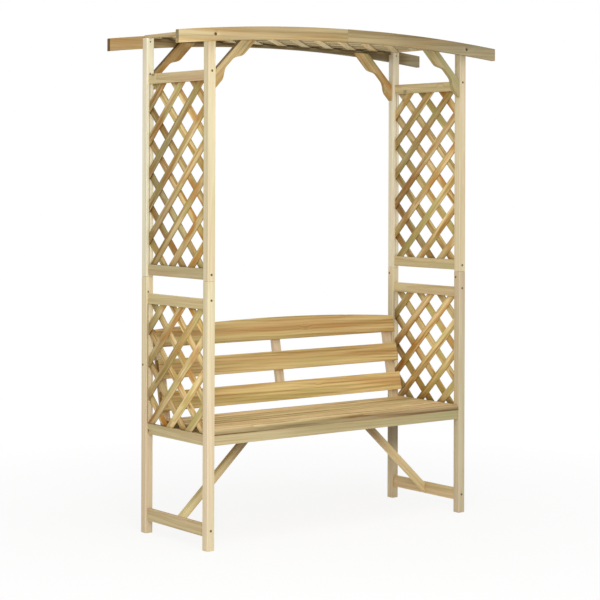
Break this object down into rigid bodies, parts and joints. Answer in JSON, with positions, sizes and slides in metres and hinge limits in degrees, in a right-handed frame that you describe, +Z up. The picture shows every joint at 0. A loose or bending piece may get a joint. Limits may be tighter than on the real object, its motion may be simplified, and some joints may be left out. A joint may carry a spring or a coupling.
{
  "type": "arbour seat",
  "caption": "Garden arbour seat in pale timber: slatted bench with a leaning back, lattice side panels, curved knee braces and an arched beam roof filled with lattice.",
  "frame": {"origin": "on the ground at the middle of the footprint, between the posts", "axes": "+X to the right as the seat is faced from the front, +Y to the back, +Z up"},
  "size_m": [1.6002, 0.5016, 1.9812],
  "materials": {
    "post_timber": "planed softwood, pale cream",
    "rail_timber": "planed softwood, pale tan",
    "lattice_timber": "sawn softwood slats, green to amber",
    "beam_timber": "planed softwood, tan with darker streaks",
    "knee_timber": "planed softwood, tan",
    "seat_timber": "planed softwood, warm tan",
    "back_timber": "planed softwood, warm tan",
    "hidden_timber": "sawn softwood",
    "bolt_steel": "dark coated steel"
  },
  "bodies": {
    "root": {"post_front_left_lower": "post_timber", "post_front_left_upper": "post_timber", "post_front_right_lower": "post_timber", "post_front_right_upper": "post_timber", "post_rear_left_lower": "post_timber", "post_rear_left_upper": "post_timber", "post_rear_right_lower": "post_timber", "post_rear_right_upper": "post_timber", "stretcher_left": "rail_timber", "stretcher_right": "rail_timber", "seat_rail_left": "rail_timber", "seat_rail_right": "rail_timber", "lower_top_rail_left": "rail_timber", "lower_top_rail_right": "rail_timber", "upper_foot_rail_left": "rail_timber", "upper_foot_rail_right": "rail_timber", "top_rail_left": "rail_timber", "top_rail_right": "rail_timber", "lattice_lower_left": "lattice_timber", "lattice_lower_right": "lattice_timber", "lattice_upper_left": "lattice_timber", "lattice_upper_right": "lattice_timber", "lattice_roof": "lattice_timber", "roof_end_rail_left": "rail_timber", "roof_end_rail_right": "rail_timber", "roof_ledger_front": "hidden_timber", "roof_ledger_rear": "hidden_timber", "beam_front_left": "beam_timber", "beam_front_right": "beam_timber", "beam_rear_left": "beam_timber", "beam_rear_right": "beam_timber", "beam_splice_front": "hidden_timber", "beam_splice_rear": "hidden_timber", "bolt_front_left": "bolt_steel", "bolt_front_right": "bolt_steel", "bolt_rear_left": "bolt_steel", "bolt_rear_right": "bolt_steel", "knee_brace_front_left": "knee_timber", "knee_brace_front_right": "knee_timber", "knee_brace_rear_left": "knee_timber", "knee_brace_rear_right": "knee_timber", "seat_slat_1": "seat_timber", "seat_slat_2": "seat_timber", "seat_slat_3": "seat_timber", "seat_slat_4": "seat_timber", "seat_apron_front": "rail_timber", "seat_apron_rear": "hidden_timber", "seat_bearer_side_left": "hidden_timber", "seat_bearer_side_right": "hidden_timber", "seat_bearer_middle_left": "hidden_timber", "seat_bearer_middle_right": "hidden_timber", "seat_brace_left": "knee_timber", "seat_brace_right": "knee_timber", "back_slat_lower": "back_timber", "back_slat_middle": "back_timber", "back_crest": "back_timber", "back_stile_left": "back_timber", "back_stile_centre": "back_timber", "back_stile_right": "back_timber"}
  },
  "joints": []
}
